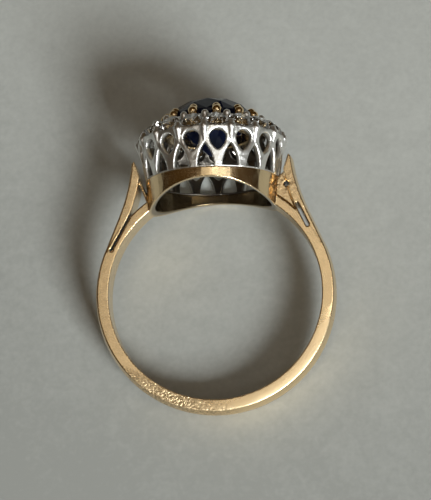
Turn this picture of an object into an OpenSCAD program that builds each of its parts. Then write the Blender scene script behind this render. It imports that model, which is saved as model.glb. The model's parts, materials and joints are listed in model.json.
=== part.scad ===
// Vintage cluster ring lying on its side: a gold shank with forked shoulders, a pierced
// white-metal gallery with a circle of white stones, and a dark centre stone in gold claws.
// Lengths are in millimetres. The ring is drawn about the middle of its finger hole, with the
// head along +Y and the finger along +Z, and is then tipped onto the point it rests on.

/* [Hoop] */
// Radius of the finger hole
finger_r = 8.45; // [7.6:0.05:9.4]
// Width of the hoop along the finger
band_w = 2.4; // [1.8:0.1:3]
// Height of the hoop's flat side face
band_face = 0.9; // [0.7:0.02:1]
// How far the rounded outside stands above the side face
band_crown = 0.2; // [0.15:0.01:0.4]

/* [Shoulders] */
// Thickness of the upper arm of each fork
arm_t = 0.9; // [0.7:0.05:1.1]
// Thickness of the lower arm of each fork, which carries the hoop on to the head
lower_arm_t = 0.72; // [0.55:0.01:0.9]
// Length of the upper arm's straight stretch, from the hoop up to the hollow curve beside the head
straight_len = 3.16; // [2:0.02:4.5]
// Lean of the upper arm beside the head, in degrees
arm_lean = 10; // [5:1:14]
// Height of the upper arm's shoulder above the base ring's top
arm_rise = 0.4; // [0:0.05:0.8]
// Length of the pointed tip of the upper arm
tip_len = 1.4; // [0.8:0.05:1.5]
// Space between the upper arm and the gallery
arm_gap = 0.4; // [0.3:0.02:0.5]
// Width of the saw cut that splits the open fork
saw_cut_w = 0.18; // [0.1:0.02:0.2]
// Length of the saw cut below the fork
saw_cut_len = 2.75; // [1.5:0.05:3.2]
// Thickness of the cheek that closes the open fork beside the head
cheek_t = 0.18; // [0.12:0.02:0.3]
// Width along the finger of the cheek and of the old solder
cheek_w = 2.0; // [1.4:0.1:2.4]
// Length of the slit that is left in the soldered fork
slit_len = 1.85; // [1.2:0.05:2.4]
// Width of the slit that is left in the soldered fork
slit_w = 0.28; // [0.15:0.01:0.35]
// Radius of the small hole that is left in the solder
solder_hole_r = 0.22; // [0.12:0.01:0.28]

/* [Base ring] */
// Outer radius, at its top, of the plain gold ring under the gallery
base_r = 5.35; // [4.8:0.05:5.6]
// Lean of the base ring's wall, in degrees
base_lean = 5; // [0:1:10]
// Wall of the base ring
base_wall = 0.5; // [0.35:0.05:0.7]
// Height of the base ring above the top of the finger hole
base_rise = 0.75; // [0.5:0.05:1]

/* [White stones] */
// Number of white stones, one seat, window and claw each
diamond_n = 17; // [12:1:19]
// Diameter of a white stone
diamond_d = 1.82; // [1.6:0.02:2]
// Space between one white stone and the next
diamond_gap = 0.1; // [0.06:0.01:0.2]
// Height of a white stone above its girdle
diamond_crown = 0.32; // [0.2:0.02:0.4]
// Depth of a white stone below its girdle
diamond_depth = 0.8; // [0.6:0.02:0.9]
// Outward lean of the white stones, in degrees
diamond_lean = 42; // [34:1:46]

/* [Gallery] */
// Height of the white stones' girdles above the base ring
girdle_h = 3.8; // [3.6:0.05:4.2]
// Thickness of the gallery wall
gallery_wall = 0.48; // [0.3:0.02:0.55]
// Thickness of the seat plate under the white stones
plate_t = 0.45; // [0.35:0.05:0.6]
// Height of the rail along the foot of the gallery
rail_h = 0.08; // [0.06:0.01:0.2]
// Width of a lower window at its foot
window_w = 1.38; // [1:0.02:1.5]
// Height of a lower window
window_h = 1.86; // [1.4:0.02:1.9]
// Width of a tear-shaped opening
tear_w = 1.42; // [1.2:0.02:1.5]
// Height of the tear-shaped opening's lower tip above the base ring
tear_tip_h = 1.2; // [1:0.02:1.6]
// Height of the tear-shaped opening from its tip to its widest place
tear_h = 1.15; // [1:0.01:1.4]
// Radius of an outer claw
claw_r = 0.28; // [0.2:0.01:0.3]
// Radius of an inner bead
bead_r = 0.22; // [0.15:0.01:0.26]

/* [Centre stone] */
// Diameter of the centre stone
centre_d = 7.0; // [6:0.1:7.6]
// Height of the centre stone's girdle above the base ring
centre_girdle_h = 5.1; // [4.9:0.05:5.6]
// Height of the centre stone above its girdle
centre_crown = 1.2; // [0.8:0.05:1.5]
// Depth of the centre stone below its girdle
centre_depth = 2.9; // [2.2:0.05:3.1]
// Number of gold claws
centre_claw_n = 12; // [8:1:14]
// Radius of a gold claw
centre_claw_r = 0.32; // [0.2:0.01:0.34]
// Wall of the gold collet
collet_wall = 0.35; // [0.25:0.05:0.5]

/* [Fits] */
// Space between a stone and its setting
stone_gap = 0.03; // [0.02:0.005:0.06]
// Space between two metal pieces that sit on each other
seat_gap = 0.03; // [0.02:0.005:0.06]

/* [Hidden] */
$fn = 48;
// How far a cutter runs past what it cuts
past = 0.5;
// How deep a piece of a soldered solid is sunk into its neighbour
sunk = 0.05;
// A step that is too small to see, at a joint between two curves of one soldered solid
hair = 0.01;

// The hoop's section is a rectangle cut by a circle of this radius, so that its outside is rounded
crown_r = (pow(band_w / 2, 2) + pow(band_crown, 2)) / (2 * band_crown);
hoop_r = finger_r + band_face + band_crown;
side_r = finger_r + band_face;

// The head stands on the base ring's top, at this height above the finger hole's middle
base_top = finger_r + base_rise;
function base_ring_r(h) = base_r + h * tan(base_lean);

// Round stones have eight main facets and a girdle of sixteen sides
facets = 8;
table_share = 0.58;
star_share = 0.79;
lower_share = 0.45;
culet_share = 0.05;
// The ridges between a stone's lower facets are steeper than a plain cone by this factor
ridge_steep = (1 - lower_share * cos(180 / facets)) / (1 - lower_share) / (1 - culet_share);
girdle_share = 0.03;
// A white stone's girdle is a little thicker for its size
diamond_girdle = 0.05;
centre_girdle = centre_d * girdle_share;

// One window and its claw stand in the middle of the side that faces up, and the gold claws are
// turned from there by the second of these angles
upper_side = -90;
centre_claw_turn = 13;

// The circle of white stones clears both the gold claws and each stone's neighbours
step = 360 / diamond_n;
centre_claw_reach = centre_d / 2 + 1.7 * centre_claw_r;
diamond_r = diamond_d / 2;
cluster_r = max(centre_claw_reach + diamond_r * cos(diamond_lean) + 2 * stone_gap,
                (diamond_d + diamond_gap) / (2 * sin(step / 2)));

// The seat plate reaches from the collet to the wall, and leans with the stones. Its inner edge stands
// in a little from the stones, and its outer edge lies a hair inside them.
plate_rim = 0.1;
plate_in_r = cluster_r - diamond_r * cos(diamond_lean) - plate_rim;
plate_out_r = cluster_r + diamond_r * cos(diamond_lean) - 2 * hair;
seat_hole_r = 0.8 * diamond_r;
seat_hole_depth = 1.4 * diamond_depth;
function plate_top(r) = girdle_h - diamond_girdle - (r - cluster_r) * tan(diamond_lean);

// The gallery wall flares from the base ring to the plate
wall_foot_r = base_r - 0.05;
wall_top_h = plate_top(plate_out_r);
flare = atan2(plate_out_r - wall_foot_r, wall_top_h);
function wall_r(h) = wall_foot_r + h * tan(flare);

// The tear's round top: how far its middle lies below the tear's widest place, and its radius
tear_round_drop = 0.1 * tear_w;
tear_round_r = 0.52 * tear_w;

// An outer claw follows the wall from the point of a window up to a knuckle, and bends in over two stones
window_top_h = rail_h + window_h;
knuckle_h = wall_top_h - sunk;
knuckle_r = wall_r(knuckle_h) - 0.25 * claw_r;
knuckle = [knuckle_r, knuckle_h];
claw_foot = [wall_r(window_top_h) - 2 * sunk, window_top_h + 2 * sunk];
claw_foot_share = 0.5;
claw_tip_share = 0.74;
claw_tip = knuckle + [-0.08, 0.34];
bead_ring_r = plate_in_r + 1.1 * bead_r;

// A claw's ball is wider than its bar
ball_share = 1.08;
// Round pieces start their turn at this angle, clear of the line where they meet their neighbours
seam_turn = 50;

// How far a bead's foot is sunk into the plate, and its bar's height
bead_foot = 0.12;
bead_h = 0.34;

// The gold collet: a flared cup with a flange that meets the plate
collet_drop = 0.75;
collet_h = 0.85;
collet_flare = 0.3;
collet_top_h = centre_girdle_h - collet_drop;
collet_foot_h = collet_top_h - collet_h;
collet_top_r = centre_d / 2 + 0.2;
collet_foot_r = collet_top_r - collet_flare;
flange_h = plate_top(plate_in_r) - plate_t;
flange_t = 0.24;
// The flange's inner edge lies inside the collet's wall
flange_in_r = collet_foot_r + (flange_h - collet_foot_h) / (collet_top_h - collet_foot_h)
              * (collet_top_r - collet_foot_r) - collet_wall / 2;

// A gold claw rises from inside the collet's wall to a knuckle beside the girdle, and ends over it
centre_claw_foot_drop = 0.7;
centre_claw_foot = [collet_top_r - collet_wall, collet_top_h - centre_claw_foot_drop];
centre_claw_foot_share = 0.8;
centre_claw_tip_share = 0.85;
centre_knuckle = [centre_d / 2 + 0.18, centre_girdle_h - 0.1];
centre_claw_tip = [centre_d / 2, centre_girdle_h + 0.16];

// The upper arm: its outside passes this point beside the head, and leans by arm_lean there
arm_top = [wall_r(arm_rise) + arm_gap + arm_t, base_top + arm_rise];
arm_side = [cos(arm_lean), sin(arm_lean)];
// The straight stretch touches both the hoop and the hollow curve, which gives the curve's radius
arm_sweep_r = (arm_top * arm_top - pow(hoop_r, 2) - pow(straight_len, 2))
            / (2 * (hoop_r - arm_top * arm_side));
sweep_centre = arm_top + arm_sweep_r * arm_side;
fork_a = atan2(sweep_centre.y, sweep_centre.x) - atan2(straight_len, hoop_r + arm_sweep_r);
sweep_a = fork_a - arm_lean;
// The point of the arm's tip, and how far up the tip its outside is cut
tip_point = [-0.3 * arm_t, tip_len];
tip_outer_cut = 0.25;
tip_in_x = -arm_t - past;
tip_a = (tip_len + past) / arm_sweep_r * 180 / PI;
tip_end = 2 * (tip_len + past);
arm_in_r = hoop_r - arm_t;
lower_arm_r = finger_r + lower_arm_t;
// The two arms part at this length along the straight stretch
part_len = sqrt(pow(lower_arm_r, 2) - pow(arm_in_r, 2));
part_at = turned([arm_in_r, part_len], fork_a);
// The saw cut leans a little more than the arm, so that it ends in the middle of the metal
saw_cut_lean = 6.5;

// The cheek's foot is sunk into the base ring by most of its thickness, and its head into the arm
cheek_foot_h = -1.67;
cheek_foot = [base_ring_r(cheek_foot_h) - cheek_t / 3, base_top + cheek_foot_h];
cheek_head_h = 0.35;
cheek_head = [wall_r(cheek_head_h) + arm_gap + 2 * sunk, base_top + cheek_head_h];

// The solder fills the fork from where the arms part up to the upper arm's inside. It rises outside the
// gallery's foot, from just under the base ring's top.
solder_foot_h = -1.45;
solder_top_h = 0.35;
solder_outline = [part_at, part_at + [0.3, 0.1], [arm_top.x - arm_t + sunk, base_top + solder_top_h],
                  [base_r - sunk, base_top - sunk], [base_r - base_wall / 2, base_top - sunk],
                  [base_ring_r(solder_foot_h) - base_wall / 2, base_top + solder_foot_h]];
slit_foot = part_at + [-0.03, 0.6];
// The small hole lies this far out from the base ring's top edge, and below it
hole_out = 0.62;
hole_drop = 0.68;
solder_hole = [base_r + hole_out, base_top - hole_drop];

// At rest the ring lies on the edge of the hoop's back, and on the rim of the base ring or on the lowest
// knuckles, whichever comes down first
lowest_claw_a = diamond_n % 2 * step / 2;
knuckle_run = [base_top + knuckle_h + side_r, knuckle_r * cos(lowest_claw_a) - band_w / 2];
knuckle_tilt = atan2(knuckle_run.y, knuckle_run.x) + asin(ball_share * claw_r / norm(knuckle_run));
rim_tilt = atan2(base_ring_r(-base_rise) - band_w / 2, finger_r + side_r);
rest_tilt = max(knuckle_tilt, rim_tilt);
rest_lift = side_r * sin(rest_tilt) + band_w / 2 * cos(rest_tilt);
// How far the table's edge and the hoop's back reach once the ring is tipped
table_h = base_top + centre_girdle_h + centre_girdle / 2 + centre_crown;
front_reach = table_h * cos(rest_tilt) + table_share * centre_d / 2 * sin(rest_tilt);
back_reach = (hoop_r - crown_r) * cos(rest_tilt) + crown_r;

function turned(p, a) = [p.x * cos(a) - p.y * sin(a), p.x * sin(a) + p.y * cos(a)];
function diamond_name(i) = str("diamond_", i < 10 ? "0" : "", i);
// Height on the straight line from point a to point b, each [radius, height], at a radius
function on_line(a, b, r) = a[1] + (r - a[0]) * (b[1] - a[1]) / (b[0] - a[0]);
function ring_points(n, r, z, turn) =
  [for (i = [0 : n - 1]) let (a = 360 / n * i + turn) [r * cos(a), r * sin(a), z]];

// Lays the ring on its side, with the middle of its box over the origin
module at_rest() {
  translate([0, (back_reach - front_reach) / 2, rest_lift]) rotate([rest_tilt, 0, 0]) children();
}

// Puts a shape drawn with the head's axis along +Z and its foot at zero onto the base ring
module on_head() {
  translate([0, base_top, 0]) rotate([-90, 0, 0]) children();
}

// Section of the hoop from an inner radius out: flat sides and a rounded outside, all drawn in by inset
module hoop_section(in_r, inset = 0) {
  intersection() {
    translate([hoop_r - crown_r, 0]) circle(r = crown_r - inset);
    translate([in_r + inset, -band_w / 2 + inset]) square([hoop_r - in_r + past, band_w - 2 * inset]);
  }
}

// The hoop, round its back from one fork to the other
module hoop() {
  rotate([0, 0, 180 - fork_a - sunk]) rotate_extrude(angle = 180 + 2 * (fork_a + sunk))
    hoop_section(finger_r);
}

// The arm's straight stretch, from the fork up, a hair thinner than the two curves that it joins
module arm_straight() {
  rotate([0, 0, fork_a]) translate([0, straight_len + sunk, 0]) rotate([90, 0, 0])
    linear_extrude(straight_len + 2 * sunk) hoop_section(arm_in_r, hair);
}

// The arm's hollow curve, which turns it up beside the head, cut to a point at its end
module arm_sweep() {
  difference() {
    translate(sweep_centre) rotate([0, 0, fork_a]) mirror([1, 0, 0])
      rotate_extrude(angle = sweep_a + tip_a) translate([hoop_r + arm_sweep_r, 0]) mirror([1, 0])
      hoop_section(arm_in_r);
    translate(arm_top) rotate([0, 0, arm_lean]) translate([0, 0, -band_w]) linear_extrude(2 * band_w) {
      polygon([tip_point, [past, tip_outer_cut * tip_len], [past, tip_end], [tip_point.x, tip_end]]);
      polygon([tip_point, [tip_in_x, -past * tip_len], [tip_in_x, tip_end], [tip_point.x, tip_end]]);
    }
  }
}

// The lower arm carries the finger hole's wall on to the base ring
module lower_arm() {
  intersection() {
    rotate([0, 0, fork_a - 1]) rotate_extrude(angle = 90 - fork_a)
      translate([finger_r, -band_w / 2]) square([lower_arm_t, band_w]);
    translate([base_r - 1.5 * base_wall, 0, -band_w])
      cube([hoop_r, hoop_r, 2 * band_w]);
  }
}

// One side's two arms, on the +X side
module fork() {
  arm_straight();
  arm_sweep();
  lower_arm();
}

// The saw cut of the open fork, a slot with a round end, on the +X side
module saw_cut() {
  translate(part_at) rotate([0, 0, fork_a + saw_cut_lean]) {
    translate([-saw_cut_w / 2, -saw_cut_len, -band_w]) cube([saw_cut_w, saw_cut_len + past, 2 * band_w]);
    translate([0, -saw_cut_len, -band_w]) cylinder(r = 0.8 * saw_cut_w, h = 2 * band_w);
  }
}

// The cheek closes the open fork: a thin plate from the base ring up to the arm
module cheek() {
  run = cheek_head - cheek_foot;
  translate(cheek_foot) rotate([0, 0, atan2(run.y, run.x)])
    translate([0, -cheek_t / 2, -cheek_w / 2]) cube([norm(run), cheek_t, cheek_w]);
}

// Old solder between the arms of the other fork, with a slit and a small hole left in it
module solder() {
  linear_extrude(cheek_w, center = true) polygon(solder_outline);
}

module solder_slit() {
  translate(slit_foot) rotate([0, 0, fork_a + 1]) {
    translate([-slit_w / 2, -slit_len, -band_w]) cube([slit_w, slit_len, 2 * band_w]);
    translate([0, -slit_len, -band_w]) cylinder(r = slit_w / 2, h = 2 * band_w);
    translate([0, 0, -band_w]) cylinder(r = slit_w / 2, h = 2 * band_w);
  }
}

module solder_hole() {
  translate([solder_hole.x, solder_hole.y, -band_w]) cylinder(r = solder_hole_r, h = 2 * band_w);
}

// The gold ring under the gallery is a cone with its wide end up, solid until its room is cut
module base_ring() {
  on_head() translate([0, 0, -finger_r]) cylinder(r1 = base_ring_r(-finger_r), r2 = base_r, h = finger_r);
}

// The room inside the base ring, open to the finger hole
module base_ring_room() {
  on_head() translate([0, 0, -finger_r - past])
    cylinder(r1 = base_ring_r(-finger_r - past) - base_wall, r2 = base_ring_r(past) - base_wall,
             h = finger_r + 2 * past);
}

module shank() {
  color("goldenrod") at_rest() difference() {
    union() {
      hoop();
      difference() {
        mirror([1, 0, 0]) fork();
        mirror([1, 0, 0]) saw_cut();
      }
      mirror([1, 0, 0]) cheek();
      difference() {
        union() {
          fork();
          solder();
        }
        solder_slit();
        solder_hole();
      }
      base_ring();
    }
    base_ring_room();
    translate([0, 0, -base_r - past]) cylinder(r = finger_r, h = 2 * (base_r + past));
  }
}

// A pointed arch, w wide at its foot and h high
module arch(w, h) {
  arc_r = (pow(w / 2, 2) + h * h) / w;
  intersection() {
    translate([w / 2 - arc_r, 0]) circle(r = arc_r);
    translate([arc_r - w / 2, 0]) circle(r = arc_r);
  }
}

// A lower window's cutter, square to the axis, at the +X side of the gallery
module window_cut() {
  translate([wall_foot_r - 2 * gallery_wall, 0, rail_h]) rotate([90, 0, 90]) linear_extrude(4 * gallery_wall)
    intersection() {
      arch(window_w, window_h);
      translate([-window_w, 0]) square([2 * window_w, window_h + past]);
    }
}

// A tear: a pointed arch upside down, with a round top
module tear() {
  intersection() {
    arch(tear_w, tear_h);
    union() {
      translate([0, -tear_round_drop]) circle(r = tear_round_r);
      translate([-tear_w, -tear_h - past]) square([2 * tear_w, tear_h + past - tear_round_drop]);
    }
  }
}

// A tear-shaped opening's cutter, at the +X side of the gallery
module tear_cut() {
  translate([wall_r(tear_tip_h) - 1.5 * gallery_wall, 0, tear_tip_h + tear_h]) rotate([90, 0, 90])
    linear_extrude(past + 3 * gallery_wall) tear();
}

// The flared wall and the seat plate, as one turned shape
module gallery_body() {
  rotate([0, 0, step / 4]) rotate_extrude() polygon([
    [wall_foot_r, seat_gap], [plate_out_r, wall_top_h], [plate_in_r, plate_top(plate_in_r)],
    [plate_in_r, plate_top(plate_in_r) - plate_t], [plate_out_r - gallery_wall, wall_top_h - plate_t],
    [wall_foot_r - gallery_wall, seat_gap]]);
}

// A round bar from one point to another, each [radius, height], from radius r_from to radius r, with a ball
// at its end that is a little wider
module claw_bar(from, to, r_from, r) {
  run = to - from;
  translate([from.x, 0, from.y]) rotate([0, atan2(run.x, run.y), 0]) rotate([0, 0, seam_turn])
    cylinder(r1 = r_from, r2 = r, h = norm(run));
  translate([to.x, 0, to.y]) rotate([0, 0, 2 * seam_turn]) sphere(r = ball_share * r);
}

// An outer claw at the +X side of the gallery
module outer_claw() {
  claw_bar(claw_foot, knuckle, claw_foot_share * claw_r, claw_r);
  claw_bar(knuckle, claw_tip, claw_r, claw_tip_share * claw_r);
}

// An inner bead at the +X side, between two stones
module inner_bead() {
  foot_h = plate_top(bead_ring_r) - bead_foot;
  claw_bar([bead_ring_r, foot_h], [bead_ring_r, foot_h + bead_h], bead_r, bead_r);
}

// Puts a shape drawn about a stone's girdle, with its axis along +Z, into its seat number i
module in_seat(i) {
  rotate([0, 0, step * (i - 0.5)]) translate([cluster_r, 0, girdle_h]) rotate([0, diamond_lean, 0])
    children();
}

// The space that a round stone needs: its own outline with a gap, and a hole through its seat
module stone_room(d, girdle, crown, depth, hole_r, hole_depth) {
  r = d / 2 + stone_gap;
  table_r = table_share * d / 2 + stone_gap;
  cone_end = -girdle / 2 - 1.5 * stone_gap - (d / 2 - hole_r) * ridge_steep * depth / (d / 2);
  rotate_extrude() polygon([
    [0, girdle / 2 + crown + stone_gap], [table_r, girdle / 2 + crown + stone_gap],
    [r, girdle / 2 + stone_gap],
    [r, -girdle / 2 - stone_gap], [hole_r, cone_end], [hole_r, -hole_depth], [0, -hole_depth]]);
}

module cluster_setting() {
  color("gainsboro") at_rest() on_head() rotate([0, 0, upper_side]) {
    difference() {
      gallery_body();
      for (i = [1 : diamond_n]) {
        rotate([0, 0, step * i]) window_cut();
        rotate([0, 0, step * (i - 0.5)]) tear_cut();
        in_seat(i)
          stone_room(diamond_d, diamond_girdle, diamond_crown, diamond_depth, seat_hole_r, seat_hole_depth);
      }
    }
    for (i = [1 : diamond_n]) rotate([0, 0, step * i]) {
      outer_claw();
      inner_bead();
    }
  }
}

// The gold cup, with its flange
module collet() {
  flange_r = plate_in_r - seat_gap;
  rotate_extrude() polygon([
    [collet_foot_r, collet_foot_h], [collet_top_r, collet_top_h],
    [collet_top_r - collet_wall, collet_top_h], [collet_foot_r - collet_wall, collet_foot_h]]);
  translate([0, 0, flange_h]) difference() {
    cylinder(r = flange_r, h = flange_t);
    translate([0, 0, -past]) cylinder(r = flange_in_r, h = flange_t + 2 * past);
  }
}

// One gold claw at the +X side, hooked over the centre stone's girdle
module centre_claw() {
  claw_bar(centre_claw_foot, centre_knuckle, centre_claw_foot_share * centre_claw_r, centre_claw_r);
  claw_bar(centre_knuckle, centre_claw_tip, centre_claw_r, centre_claw_tip_share * centre_claw_r);
}

module centre_setting() {
  color("gold") at_rest() on_head() difference() {
    union() {
      collet();
      for (i = [1 : centre_claw_n]) rotate([0, 0, upper_side + centre_claw_turn + 360 / centre_claw_n * i])
        centre_claw();
    }
    translate([0, 0, centre_girdle_h])
      stone_room(centre_d, centre_girdle, centre_crown, centre_depth, collet_foot_r - collet_wall,
                 centre_depth);
  }
}

// A round cut stone about its girdle: table, stars, main kites, halves, girdle, pavilion and culet.
// The stars' and the lower halves' corners are placed so that each main facet is flat.
module cut_stone(d, girdle, crown, depth) {
  r = d / 2;
  half = 180 / facets;
  top = girdle / 2 + crown;
  bottom = -girdle / 2 - depth;
  table_r = table_share * r;
  star_r = star_share * r;
  lower_r = lower_share * r;
  culet_r = culet_share * r;
  star_h = on_line([table_r, top], [r, girdle / 2], star_r * cos(half));
  lower_h = on_line([culet_r * cos(half), bottom], [r, -girdle / 2], lower_r * cos(half));
  points = concat(
    ring_points(facets, table_r, top, 0), ring_points(facets, star_r, star_h, half),
    ring_points(2 * facets, r, girdle / 2, 0), ring_points(2 * facets, r, -girdle / 2, 0),
    ring_points(facets, lower_r, lower_h, half), ring_points(facets, culet_r, bottom, half));
  // First number of each ring of points
  star = facets;
  upper = 2 * facets;
  lower = 4 * facets;
  pavilion = 6 * facets;
  culet = 7 * facets;
  faces = concat(
    [[for (i = [facets - 1 : -1 : 0]) i]],
    [for (i = [0 : facets - 1]) let (j = (i + 1) % facets) [i, j, star + i]],
    [for (i = [0 : facets - 1]) let (k = (i + facets - 1) % facets) [i, star + i, upper + 2 * i, star + k]],
    [for (i = [0 : facets - 1]) [star + i, upper + 2 * i + 1, upper + 2 * i]],
    [for (i = [0 : facets - 1]) [star + i, upper + (2 * i + 2) % (2 * facets), upper + 2 * i + 1]],
    [for (i = [0 : 2 * facets - 1]) let (j = (i + 1) % (2 * facets))
      [upper + i, upper + j, lower + j, lower + i]],
    [for (i = [0 : facets - 1]) [lower + 2 * i, lower + 2 * i + 1, pavilion + i]],
    [for (i = [0 : facets - 1]) [lower + 2 * i + 1, lower + (2 * i + 2) % (2 * facets), pavilion + i]],
    [for (i = [0 : facets - 1]) let (k = (i + facets - 1) % facets)
      [lower + 2 * i, pavilion + i, culet + i, culet + k, pavilion + k]],
    [[for (i = [0 : facets - 1]) culet + i]]);
  polyhedron(points, faces, convexity = 2);
}

module centre_stone() {
  color("midnightblue") at_rest() on_head() translate([0, 0, centre_girdle_h])
    cut_stone(centre_d, centre_girdle, centre_crown, centre_depth);
}

module diamond(i) {
  color("white") at_rest() on_head() rotate([0, 0, upper_side]) in_seat(i)
    cut_stone(diamond_d, diamond_girdle, diamond_crown, diamond_depth);
}

shank();
cluster_setting();
centre_setting();
centre_stone();
for (i = [1 : diamond_n]) diamond(i);
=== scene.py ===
import json
import math

import bpy
from bpy.props import FloatProperty, FloatVectorProperty, PointerProperty
from mathutils import Matrix, Vector


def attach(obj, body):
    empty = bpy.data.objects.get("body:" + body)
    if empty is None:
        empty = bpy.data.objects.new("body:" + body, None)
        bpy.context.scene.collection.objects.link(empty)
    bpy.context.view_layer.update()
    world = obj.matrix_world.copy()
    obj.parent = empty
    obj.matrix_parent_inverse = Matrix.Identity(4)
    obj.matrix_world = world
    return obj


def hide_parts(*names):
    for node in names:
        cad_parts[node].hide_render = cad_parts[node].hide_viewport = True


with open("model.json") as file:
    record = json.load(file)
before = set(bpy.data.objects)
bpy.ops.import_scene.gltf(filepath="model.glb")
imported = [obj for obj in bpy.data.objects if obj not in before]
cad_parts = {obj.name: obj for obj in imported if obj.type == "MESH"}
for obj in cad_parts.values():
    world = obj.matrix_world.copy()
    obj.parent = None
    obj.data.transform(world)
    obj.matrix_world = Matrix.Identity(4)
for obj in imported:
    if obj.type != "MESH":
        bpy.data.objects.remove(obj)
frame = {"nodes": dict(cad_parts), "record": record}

bl_info = {
    "name": "Vintage Cluster Ring",
    "version": (1, 0, 0),
    "blender": (4, 5, 0),
    "location": "View3D > Sidebar > Ring",
    "description": "Dresses the packed cluster ring with metals, stones, a floor, lights and a camera",
    "category": "Object",
}

# One millimetre, in Blender's metres
MM = 0.001
# The photograph's height, in pixels
PHOTO_H = 500
# Corners of the solids' loose triangles that lie closer than this are one corner
SAME_CORNER = 0.0005 * MM

# The ring's own frame comes from its finger hole: across the ring, towards the head, and along the finger
FINGER_HOLE = next(m for m in frame["record"]["mounts"] if m["name"] == "finger_hole")
RING_CENTRE = Vector(FINGER_HOLE["pos_m"])
FINGER_AXIS = Vector(FINGER_HOLE["axis"]).normalized()
SIDE_AXIS = Vector((1, 0, 0))
HEAD_AXIS = FINGER_AXIS.cross(SIDE_AXIS)
RING_TURN = Matrix((SIDE_AXIS, HEAD_AXIS, FINGER_AXIS)).transposed().to_4x4()
RING_FRAME = Matrix.Translation(RING_CENTRE) @ RING_TURN
FINGER_R = FINGER_HOLE["dims"]["r_mm"] * MM
# How far the middle of the hoop's side lies outside the finger hole, in millimetres
HALF_HOOP = 0.6
# The soldered fork of the right shoulder, in the ring's own frame, and how far its rough skin reaches from
# there, in millimetres
SOLDER = (5.9, 8.4, 0.0)
SOLDER_REACH = 1.9
# Middle of the base ring's wall, in millimetres from the head's axis
BASE_RING_R = 5.2
# How much the gallery's wall leans out for its height, and how much the seat plate falls for its reach
FLARE = 0.184
PLATE_FALL = 0.9
# Where the hoop's side is rubbed most and pitted most, in degrees from the ring's right, and how narrow each
# place is, from 0 for half the hoop to 1 for a point
RUBBED_AT, RUBBED_NARROW = -52, 0.72
PITTED_AT, PITTED_NARROW = -112, 0.86
# How steeply the hoop's side is worn down towards its outside, where it is rubbed most
WORN_SLOPE = 6.0
# How near the walls stand of a corner where grime gathers, of a narrow cut that painted shade blackens, and
# of a corner where tarnish gathers, in millimetres
GRIME_CORNER, CUT_SHADE_CORNER, TARNISH_CORNER = 0.5, 0.6, 0.45
# Turns of the two sets of fine scratches in the gold, in radians
SCRATCH_TURN = (0.3, 0.1, 0.5)
CROSS_TURN = (0.9, -0.4, -0.9)

WHITE_STONES = sorted(n for n in frame["nodes"] if n.startswith("diamond_"))


class Socket:
    """A shader value. Sums, products and powers of sockets add the Math nodes that they need."""

    def __init__(self, finish, link):
        self.finish, self.link = finish, link

    def math(self, operation, first, second=0.0):
        return self.finish.add("ShaderNodeMath", {"operation": operation}, {0: first, 1: second})

    def __add__(self, other):
        return self.math("ADD", self, other)

    def __radd__(self, other):
        return self.math("ADD", other, self)

    def __sub__(self, other):
        return self.math("SUBTRACT", self, other)

    def __rsub__(self, other):
        return self.math("SUBTRACT", other, self)

    def __mul__(self, other):
        return self.math("MULTIPLY", self, other)

    def __rmul__(self, other):
        return self.math("MULTIPLY", other, self)

    def __truediv__(self, other):
        return self.math("DIVIDE", self, other)

    def __pow__(self, other):
        return self.math("POWER", self, other)


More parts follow.
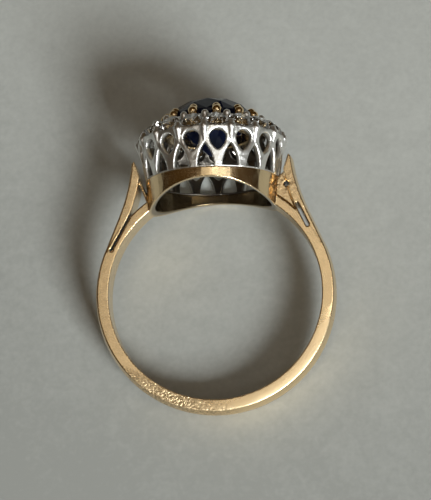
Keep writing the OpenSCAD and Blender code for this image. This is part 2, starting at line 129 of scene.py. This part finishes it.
class Finish:
    """A material or the room's light, and the one method that adds nodes to it."""

    def __init__(self, name, kind=bpy.data.materials):
        self.data = kind.new(name)
        self.data.use_nodes = True
        self.tree = self.data.node_tree
        self.tree.nodes.clear()

    def add(self, kind, settings=None, values=None, output=0):
        """Adds a node with its settings, and then with the values or links of its sockets."""
        node = self.tree.nodes.new(kind)
        for name, value in (settings or {}).items():
            if name == "stops":
                set_stops(node.color_ramp, value)
            else:
                setattr(node, name, value)
        for name, value in (values or {}).items():
            if isinstance(value, Socket):
                self.tree.links.new(value.link, node.inputs[name])
            else:
                node.inputs[name].default_value = value
        return Socket(self, node.outputs[output]) if node.outputs else None

    def coordinates(self):
        """The object's coordinates in millimetres, in the ring's own frame."""
        place = self.add("ShaderNodeTexCoord", output="Object")
        to_ring = RING_FRAME.inverted()
        return self.add("ShaderNodeMapping", {}, {
            "Vector": place, "Scale": (1 / MM,) * 3, "Rotation": to_ring.to_euler(),
            "Location": to_ring.translation / MM})

    def part(self, vector, axis):
        """One of a vector's three numbers."""
        return self.add("ShaderNodeSeparateXYZ", {}, {0: vector}, output=axis)

    def near(self, place, point, reach):
        """One at a point of the ring's frame, falling to nothing at a reach from it, all in millimetres."""
        away = self.add("ShaderNodeVectorMath", {"operation": "DISTANCE"}, {0: place, 1: point},
                        output="Value")
        return self.ramp(away / reach, (0.0, 1.0), (1.0, 0.0))

    def towards(self, place, degrees, narrow):
        """One on the side of the hoop that lies at this angle from the ring's right, nothing far from it."""
        across = math.cos(math.radians(degrees)) * self.part(place, "X")
        along = math.sin(math.radians(degrees)) * self.part(place, "Y")
        return self.ramp((across + along) / (FINGER_R / MM + HALF_HOOP), (narrow, 0.0), (1.0, 1.0))

    def from_axis(self, place, across):
        """How far a point lies from one of the ring's axes, in millimetres. Across is 0 along that axis."""
        flat = self.add("ShaderNodeVectorMath", {"operation": "MULTIPLY"}, {0: place, 1: across})
        return self.add("ShaderNodeVectorMath", {"operation": "LENGTH"}, {0: flat}, output="Value")

    def out_of_hole(self, place):
        """How far a point lies outside the finger hole, in millimetres."""
        return self.from_axis(place, (1.0, 1.0, 0.0)) - FINGER_R / MM

    def across_head(self, place):
        """How far a point lies from the head's axis, in millimetres."""
        return self.from_axis(place, (1.0, 0.0, 1.0))

    def noise(self, place, scale, detail=2.0, distortion=0.0):
        """Cloudy noise round a half, with this many clouds to a millimetre."""
        return self.add("ShaderNodeTexNoise", {}, {
            "Vector": place, "Scale": scale, "Detail": detail, "Distortion": distortion})

    def ramp(self, value, *stops):
        """A soft step through the given (place, level) stops."""
        return self.add("ShaderNodeValToRGB", {"stops": stops}, {"Fac": value})

    def patches(self, place, scale):
        """Soft-edged patches, 1 inside and 0 between them."""
        return self.ramp(self.noise(place, scale, detail=3.0), (0.38, 0.0), (0.62, 1.0))

    def mix(self, share, first, second):
        """A blend of two colours."""
        return self.add("ShaderNodeMix", {"data_type": "RGBA"}, {
            "Factor": share, 6: rgba(first), 7: rgba(second)}, output=2)

    def scratches(self, place, turn, width):
        """Fine short lines along one direction: noise drawn out along it, kept near its middle value."""
        drawn = self.add("ShaderNodeMapping", {}, {
            "Vector": place, "Rotation": turn, "Scale": (1.2, 16.0, 16.0)})
        waves = self.noise(drawn, 1.0, detail=2.0, distortion=0.3)
        edge = self.add("ShaderNodeMath", {"operation": "ABSOLUTE"}, {0: waves - 0.5})
        return self.ramp(edge, (0.0, 1.0), (width, 0.0))

    def crevice(self, reach):
        """How closed in a point is, from 0 in the open to 1 in a corner. Only what stands within the reach,
        in millimetres, counts."""
        open_share = self.add("ShaderNodeAmbientOcclusion", {"samples": 8}, {"Distance": reach * MM},
                              output="AO")
        return 1 - open_share

    def bump(self, height, strength, depth):
        """Low relief, its depth in millimetres."""
        return self.add("ShaderNodeBump", {}, {
            "Strength": strength, "Distance": depth * MM, "Height": height})

    def surface(self, values):
        """Ends the material with one Principled surface."""
        shader = self.add("ShaderNodeBsdfPrincipled", {}, values, output="BSDF")
        self.add("ShaderNodeOutputMaterial", {}, {"Surface": shader})
        return self.data


def set_stops(ramp, stops):
    """Gives a colour ramp its grey stops."""
    while len(ramp.elements) < len(stops):
        ramp.elements.new(1.0)
    for element, (place, level) in zip(ramp.elements, stops):
        element.position = place
        element.color = (level, level, level, 1.0)


def rgba(colour):
    """A setting's colour as a socket takes it. A socket's link stays as it is."""
    return colour if isinstance(colour, Socket) else (*colour, 1.0)


def dress(material, *names):
    """Gives CAD nodes a finish."""
    for name in names:
        for slot in frame["nodes"][name].material_slots:
            slot.material = material


def modify(piece, kind, **settings):
    """Adds one modifier to the piece and applies it."""
    modifier = piece.modifiers.new(kind.lower(), kind)
    for name, value in settings.items():
        setattr(modifier, name, value)
    bpy.ops.object.modifier_apply(modifier=modifier.name)


def cast_copy(node, name, grain, softness, fuller, kept):
    """A copy of a CAD node's solid with the soft edges and faint unevenness of hand-finished metal. Its skin
    is set out again by what the softening took, in millimetres, and a share of its faces is kept. It is
    shaped at a thousand times its size, because Remesh takes no grain under a tenth of a millimetre."""
    bpy.ops.object.select_all(action="DESELECT")
    source = frame["nodes"][node]
    source.select_set(True)
    bpy.context.view_layer.objects.active = source
    bpy.ops.object.duplicate()
    piece = bpy.context.object
    piece.name = piece.data.name = name
    bpy.ops.object.mode_set(mode="EDIT")
    bpy.ops.mesh.select_all(action="SELECT")
    bpy.ops.mesh.remove_doubles(threshold=SAME_CORNER)
    bpy.ops.object.mode_set(mode="OBJECT")
    piece.scale = (1 / MM,) * 3
    bpy.ops.object.transform_apply(location=False, rotation=False, scale=True)
    modify(piece, "REMESH", mode="VOXEL", voxel_size=grain, adaptivity=0.0)
    modify(piece, "SMOOTH", factor=0.5, iterations=softness)
    modify(piece, "DISPLACE", strength=fuller, mid_level=0.0)
    modify(piece, "DECIMATE", ratio=kept)
    piece.scale = (MM,) * 3
    bpy.ops.object.transform_apply(location=False, rotation=False, scale=True)
    bpy.ops.object.shade_smooth()
    piece.data.materials.clear()
    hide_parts(node)
    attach(piece, "root")
    return piece


class MetalSettings(bpy.types.PropertyGroup):
    gold: FloatVectorProperty(
        name="Gold", description="Colour of the polished yellow gold",
        subtype="COLOR", size=3, min=0, max=1, default=(0.92, 0.71, 0.43))
    old_gold: FloatVectorProperty(
        name="Old gold", description="Colour of the gold where grime sits in its corners",
        subtype="COLOR", size=3, min=0, max=1, default=(0.40, 0.26, 0.12))
    # Near-black painted shade, laid into the gold's narrowest cuts, the base ring's inside and the gallery's
    # inside
    painted_shade: FloatVectorProperty(
        name="Painted shade", description="Colour of the dirt in the gold's narrowest cuts and inside the gallery",
        subtype="COLOR", size=3, min=0, max=1, default=(0.03, 0.02, 0.01))
    white: FloatVectorProperty(
        name="White metal", description="Colour of the polished gallery",
        subtype="COLOR", size=3, min=0, max=1, default=(0.86, 0.85, 0.82))
    tarnish: FloatVectorProperty(
        name="Tarnish", description="Colour of the tarnish in the gallery's corners",
        subtype="COLOR", size=3, min=0, max=1, default=(0.24, 0.20, 0.15))
    gold_roughness: FloatProperty(
        name="Gold roughness", description="Roughness of the gold between its scratches",
        min=0, max=1, default=0.16)
    white_roughness: FloatProperty(
        name="White roughness", description="Roughness of the gallery",
        min=0, max=1, default=0.36)


class StoneSettings(bpy.types.PropertyGroup):
    dark: FloatVectorProperty(
        name="Centre stone", description="Colour of the dark centre stone",
        subtype="COLOR", size=3, min=0, max=1, default=(0.006, 0.010, 0.035))
    white: FloatVectorProperty(
        name="White stones", description="Colour of the white stones",
        subtype="COLOR", size=3, min=0, max=1, default=(0.97, 0.98, 1.0))


class StageSettings(bpy.types.PropertyGroup):
    floor: FloatVectorProperty(
        name="Floor", description="Colour of the floor",
        subtype="COLOR", size=3, min=0, max=1, default=(0.62, 0.635, 0.60))
    room: FloatVectorProperty(
        name="Room", description="Colour and strength of the room's own light",
        subtype="COLOR", size=3, min=0, max=1, default=(0.06, 0.035, 0.012))
    floor_size: FloatProperty(
        name="Floor size", description="Width of the floor", unit="LENGTH", default=1.2)
    distance: FloatProperty(
        name="Camera distance", description="From the camera to the point it aims at",
        unit="LENGTH", default=0.160)
    rise: FloatProperty(
        name="Camera rise", description="Angle of the view above the finger's axis, away from the head",
        unit="ROTATION", default=math.radians(11.4))
    yaw: FloatProperty(
        name="Camera yaw", description="Angle of the view to the side of the finger's axis",
        unit="ROTATION", default=math.radians(5.5))
    roll: FloatProperty(
        name="Camera roll", description="Turn of the camera about its own view",
        unit="ROTATION", default=math.radians(-1.7))
    pixels_per_mm: FloatProperty(
        name="Pixels a millimetre", description="Scale of the photograph at the point aimed at",
        default=12.58)
    aim: FloatVectorProperty(
        name="Aim", description="The point aimed at, in the ring's own frame",
        subtype="TRANSLATION", unit="LENGTH", size=3, default=(0.06 * MM, 3.62 * MM, 0.0))


def metals():
    """The colours and roughness of the metals."""
    return bpy.context.scene.ring_metals


def stones():
    """The colours of the stones."""
    return bpy.context.scene.ring_stones


def stage():
    """The floor, the room and the camera."""
    return bpy.context.scene.ring_stage


def gold_finish(name, wear):
    """Old polished gold: soft unevenness, fine short scratches, and brown grime in its corners. Painted shade
    blackens its narrowest cuts. The hoop is rubbed matt at its lower right, pitted at its lower left, and
    rough where its right shoulder was soldered. Painted shade darkens the base ring inside, and the base ring
    is softly polished outside. Wear is 1 for all of this, and 0 for gold that has only scratches, grime and
    the painted shade in its narrowest cuts."""
    finish = Finish(name)
    place = finish.coordinates()
    lines = finish.scratches(place, SCRATCH_TURN, 0.03)
    cross = finish.scratches(place, CROSS_TURN, 0.02)
    patch = finish.patches(place, 0.6)
    marks = (lines + cross) * (0.3 + 0.7 * patch)
    rubbed = finish.towards(place, RUBBED_AT, RUBBED_NARROW) * wear
    pitted = finish.towards(place, PITTED_AT, PITTED_NARROW) * wear
    solder = finish.near(place, SOLDER, SOLDER_REACH) * wear
    pits = finish.ramp(finish.noise(place, 6.0, detail=3.0, distortion=0.4), (0.42, 1.0), (0.56, 0.0))
    lumps = finish.ramp(finish.noise(place, 1.9, detail=2.0), (0.35, 0.0), (0.62, 1.0))
    grime = (finish.crevice(GRIME_CORNER) * (0.4 + 0.35 * patch) + 0.7 * pitted * pits
             + 0.6 * solder * (1 - lumps))
    colour = finish.mix(grime, metals().gold, metals().old_gold)
    # The base ring's two sides, told apart by how far they lie from the head's axis
    from_head = finish.across_head(place) / BASE_RING_R
    under_head = finish.ramp(finish.part(place, "Y") / 10, (0.6, 0.0), (0.64, 1.0)) * wear
    inside = finish.ramp(from_head, (0.94, 1.0), (0.98, 0.0)) * under_head
    outside = finish.ramp(from_head, (0.985, 0.0), (0.995, 1.0), (1.04, 1.0), (1.06, 0.0)) * under_head
    # Painted shade darkens the base ring's inside
    colour = finish.mix(0.75 * inside, colour, metals().painted_shade)
    # Painted shade blackens the gold's narrowest cuts
    narrow = finish.ramp(finish.crevice(CUT_SHADE_CORNER), (0.66, 0.0), (0.82, 1.0))
    colour = finish.mix(narrow, colour, metals().painted_shade)
    height = (0.5 * finish.noise(place, 0.9) - 0.03 * marks + solder * lumps * 1.2 - pitted * pits * 1.2
              - WORN_SLOPE * rubbed * finish.out_of_hole(place) ** 2)
    roughness = (metals().gold_roughness + 0.1 * marks + 0.05 * patch + 0.2 * rubbed + 0.18 * pitted
                 + 0.06 * outside)
    return finish.surface({
        "Base Color": colour, "Metallic": 1.0, "Roughness": roughness,
        "Normal": finish.bump(height, strength=0.5, depth=0.05)})


def white_metal_finish():
    """The gallery's bright white metal, tarnished yellow-brown in its corners, with painted shade that makes
    it black inside."""
    finish = Finish("white_metal")
    place = finish.coordinates()
    tarnish = finish.crevice(TARNISH_CORNER) * (0.35 + 0.5 * finish.patches(place, 1.1))
    colour = finish.mix(tarnish, metals().white, metals().tarnish)
    # Painted shade, black inside: within the leaning wall and under the sloping seat plate
    out, up = finish.across_head(place), finish.part(place, "Y")
    hollow = (finish.ramp((out - FLARE * up) / 10, (0.322, 1.0), (0.345, 0.0))
              * finish.ramp((up + PLATE_FALL * out) / 20, (0.865, 1.0), (0.878, 0.0)))
    colour = finish.mix(0.92 * hollow, colour, metals().painted_shade)
    height = 2.6 * finish.noise(place, 1.5, detail=2.0) + 0.3 * finish.noise(place, 7.0)
    return finish.surface({
        "Base Color": colour, "Metallic": 1.0, "Roughness": metals().white_roughness + 0.2 * tarnish,
        "Normal": finish.bump(height, strength=0.7, depth=0.05)})


def stone_finish(name, colour, ior, through, roughness, gloss=0.5):
    """A cut stone, slightly worn along its facets."""
    finish = Finish(name)
    place = finish.coordinates()
    haze = finish.ramp(finish.noise(place, 3.0, detail=3.0), (0.45, 0.0), (0.75, 1.0))
    return finish.surface({
        "Base Color": rgba(colour), "IOR": ior, "Specular IOR Level": gloss,
        "Transmission Weight": through, "Roughness": roughness + 0.03 * haze})


def floor_finish():
    """A pale grey matt surface with fine grain and a soft cloudiness, and painted shade that makes it darker
    towards the photographer.
    """
    finish = Finish("floor")
    place = finish.coordinates()
    cloud = finish.noise(place, 0.06, detail=4.0)
    grain = finish.noise(place, 2.4, detail=4.0)
    # Painted shade: the floor darkens towards the photographer and a little to the left
    away = finish.ramp(0.5 - 0.016 * finish.part(place, "Y") - 0.006 * finish.part(place, "X"),
                       (0.15, 0.0), (0.85, 1.0))
    streak = finish.noise(place, 0.5, detail=5.0, distortion=1.5)
    pale = stage().floor
    colour = finish.mix(0.2 * cloud + 0.4 * grain + 0.4 * streak + 0.55 * away, pale, [0.6 * c for c in pale])
    return finish.surface({
        "Base Color": colour, "Roughness": 0.7, "Normal": finish.bump(grain, strength=0.25, depth=0.03)})


class RING_OT_shank(bpy.types.Operator):
    """Casts the hoop, its forked shoulders and the base ring in worn yellow gold"""
    bl_idname = "ring.shank"
    bl_label = "Shank"

    def execute(self, context):
        piece = cast_copy("shank", "worn_shank",
                          grain=0.05, softness=3, fuller=0.01, kept=0.33)
        piece.data.materials.append(gold_finish("shank_gold", wear=1.0))
        return {"FINISHED"}


class RING_OT_gallery(bpy.types.Operator):
    """Casts the pierced gallery in white metal"""
    bl_idname = "ring.gallery"
    bl_label = "Gallery"

    def execute(self, context):
        piece = cast_copy("cluster_setting", "pierced_gallery",
                          grain=0.045, softness=5, fuller=0.055, kept=0.45)
        piece.data.materials.append(white_metal_finish())
        return {"FINISHED"}


class RING_OT_collet(bpy.types.Operator):
    """Casts the centre stone's collet and claws in yellow gold"""
    bl_idname = "ring.collet"
    bl_label = "Gold collet and claws"

    def execute(self, context):
        piece = cast_copy("centre_setting", "gold_collet",
                          grain=0.045, softness=2, fuller=0.045, kept=0.7)
        piece.data.materials.append(gold_finish("claw_gold", wear=0.0))
        return {"FINISHED"}


class RING_OT_centre_stone(bpy.types.Operator):
    """Finishes the dark centre stone"""
    bl_idname = "ring.centre_stone"
    bl_label = "Centre stone"

    def execute(self, context):
        finish = stone_finish("dark_stone", stones().dark, ior=1.5, through=0.0, roughness=0.02, gloss=0.2)
        dress(finish, "centre_stone")
        return {"FINISHED"}


class RING_OT_white_stones(bpy.types.Operator):
    """Finishes the circle of white stones"""
    bl_idname = "ring.white_stones"
    bl_label = "White stones"

    def execute(self, context):
        finish = stone_finish("white_stone", stones().white, ior=2.42, through=1.0, roughness=0.0)
        dress(finish, *WHITE_STONES)
        return {"FINISHED"}


def softbox(name, place, size, watts, tint):
    """An area light at a place in metres, aimed at the ring, with its width across the ring."""
    light = bpy.data.lights.new(name, "AREA")
    light.shape = "RECTANGLE"
    light.size, light.size_y = size
    light.energy = watts
    light.color = tint
    lamp = bpy.data.objects.new(name, light)
    bpy.context.scene.collection.objects.link(lamp)
    away = (Vector(place) - RING_CENTRE).normalized()
    width = (SIDE_AXIS - SIDE_AXIS.dot(away) * away).normalized()
    turn = Matrix((width, away.cross(width), away)).transposed().to_4x4()
    lamp.matrix_world = Matrix.Translation(place) @ turn


def room_light():
    """A dim warm room, a little paler overhead."""
    room = Finish("room", kind=bpy.data.worlds)
    place = room.add("ShaderNodeTexCoord", output="Generated")
    rise = room.ramp(room.part(place, "Z"), (0.0, 0.25), (0.3, 0.6), (1.0, 1.0))
    colour = room.mix(rise, (0.0, 0.0, 0.0), stage().room)
    light = room.add("ShaderNodeBackground", {}, {"Color": colour, "Strength": 1.0}, output="Background")
    room.add("ShaderNodeOutputWorld", {}, {"Surface": light})
    bpy.context.scene.world = room.data


def photo_camera():
    """The camera, placed in the ring's own frame as the photograph's view was worked out."""
    settings = stage()
    rise, yaw, roll = settings.rise, settings.yaw, settings.roll
    back = Vector((math.sin(yaw) * math.cos(rise), -math.sin(rise), math.cos(yaw) * math.cos(rise)))
    level_right = (-back).cross(Vector((0, 1, 0))).normalized()
    level_up = level_right.cross(-back)
    right = level_right * math.cos(roll) + level_up * math.sin(roll)
    up = level_up * math.cos(roll) - level_right * math.sin(roll)
    view = Matrix((right, up, back)).transposed().to_4x4()
    view.translation = Vector(settings.aim) + back * settings.distance
    data = bpy.data.cameras.new("photo_camera")
    camera = bpy.data.objects.new("photo_camera", data)
    bpy.context.scene.collection.objects.link(camera)
    camera.matrix_world = RING_FRAME @ view
    half_view = PHOTO_H / 2 / (settings.pixels_per_mm * settings.distance / MM)
    data.sensor_fit = "VERTICAL"
    data.lens = data.sensor_height / 2 / half_view
    data.clip_start, data.clip_end = 1 * MM, 5.0
    bpy.context.scene.camera = camera


class RING_OT_stage(bpy.types.Operator):
    """Builds the floor, the lights and the camera"""
    bl_idname = "ring.stage"
    bl_label = "Stage"

    def execute(self, context):
        bpy.ops.object.select_all(action="DESELECT")
        bpy.ops.mesh.primitive_plane_add(size=stage().floor_size)
        floor = context.object
        floor.name = "floor"
        floor.data.materials.append(floor_finish())
        softbox("overhead", place=(0.03, -0.12, 0.42), size=(0.26, 0.32), watts=0.17, tint=(1.0, 0.94, 0.82))
        softbox("key", place=(0.59, -0.90, 0.66), size=(0.42, 0.42), watts=18.5, tint=(0.94, 0.99, 1.0))
        softbox("strip", place=(0.16, -0.058, 0.42), size=(0.26, 0.03), watts=0.08, tint=(1.0, 0.98, 0.94))
        softbox("fill", place=(-0.20, -0.42, 0.52), size=(0.07, 0.07), watts=0.10, tint=(1.0, 0.97, 0.9))
        room_light()
        photo_camera()
        context.scene.view_settings.view_transform = "Standard"
        return {"FINISHED"}


class RING_PT_panel(bpy.types.Panel):
    """Lists the ring's sizes, colours and pieces"""
    bl_label = "Cluster ring"
    bl_idname = "RING_PT_panel"
    bl_space_type = "VIEW_3D"
    bl_region_type = "UI"
    bl_category = "Ring"

    def draw(self, context):
        for group in (metals(), stones(), stage()):
            box = self.layout.box()
            for name in group.bl_rna.properties.keys():
                if name not in ("rna_type", "name"):
                    box.prop(group, name)
        for operator in OPERATORS:
            self.layout.operator(operator.bl_idname)


GROUPS = {"ring_metals": MetalSettings, "ring_stones": StoneSettings, "ring_stage": StageSettings}
OPERATORS = (RING_OT_shank, RING_OT_gallery, RING_OT_collet, RING_OT_centre_stone, RING_OT_white_stones,
             RING_OT_stage)


def register():
    for cls in (*GROUPS.values(), *OPERATORS, RING_PT_panel):
        bpy.utils.register_class(cls)
    for name, group in GROUPS.items():
        setattr(bpy.types.Scene, name, PointerProperty(type=group))


def unregister():
    for name in GROUPS:
        delattr(bpy.types.Scene, name)
    for cls in reversed((*GROUPS.values(), *OPERATORS, RING_PT_panel)):
        bpy.utils.unregister_class(cls)


def main():
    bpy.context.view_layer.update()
    register()
    bpy.ops.ring.shank()
    bpy.ops.ring.gallery()
    bpy.ops.ring.collet()
    bpy.ops.ring.centre_stone()
    bpy.ops.ring.white_stones()
    bpy.ops.ring.stage()


if __name__ == "__main__":
    main()
